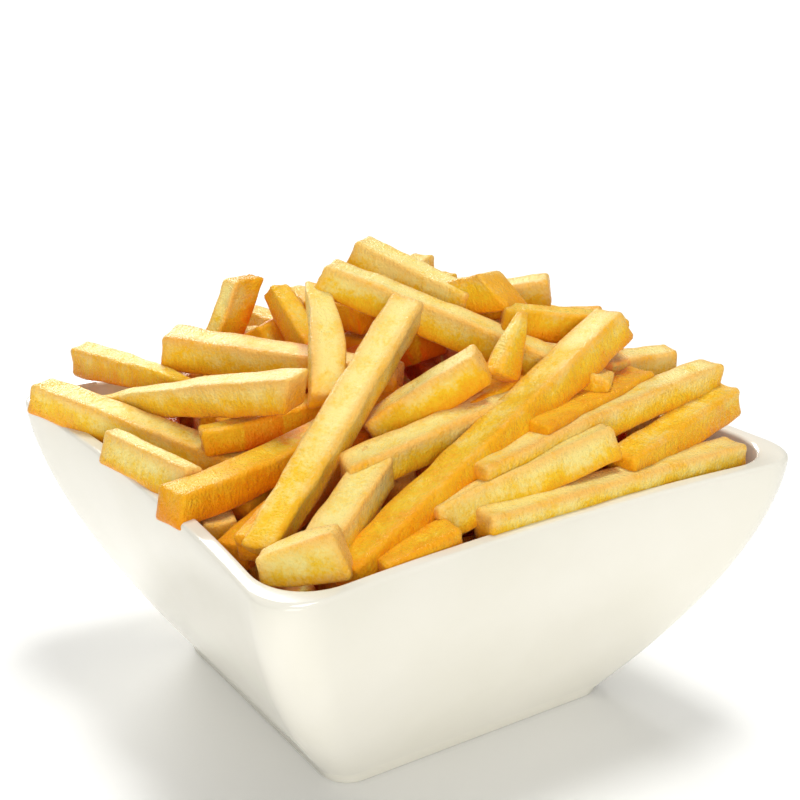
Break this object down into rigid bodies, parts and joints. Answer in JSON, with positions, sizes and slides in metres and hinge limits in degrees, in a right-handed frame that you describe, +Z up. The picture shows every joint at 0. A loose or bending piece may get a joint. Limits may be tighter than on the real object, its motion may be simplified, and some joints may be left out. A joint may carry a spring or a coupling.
{
  "type": "french fries portion",
  "caption": "A generous heap of straight-cut golden french fries in a square cream glazed ceramic bowl with flaring walls and a low foot ring.",
  "frame": {"origin": "on the surface the bowl stands on, under the middle of the rim", "axes": "+Z up; the bowl's four sides face -X, +X, -Y and +Y; the picture looks at the corner between -X and -Y"},
  "size_m": [0.1372, 0.1372, 0.108],
  "materials": {
    "glazed_ceramic": "cream-white glossy glaze",
    "fried_potato": "golden fried crust with a light oily sheen"
  },
  "bodies": {
    "root": {"bowl": "glazed_ceramic", "fries_heap": "fried_potato"}
  },
  "joints": []
}
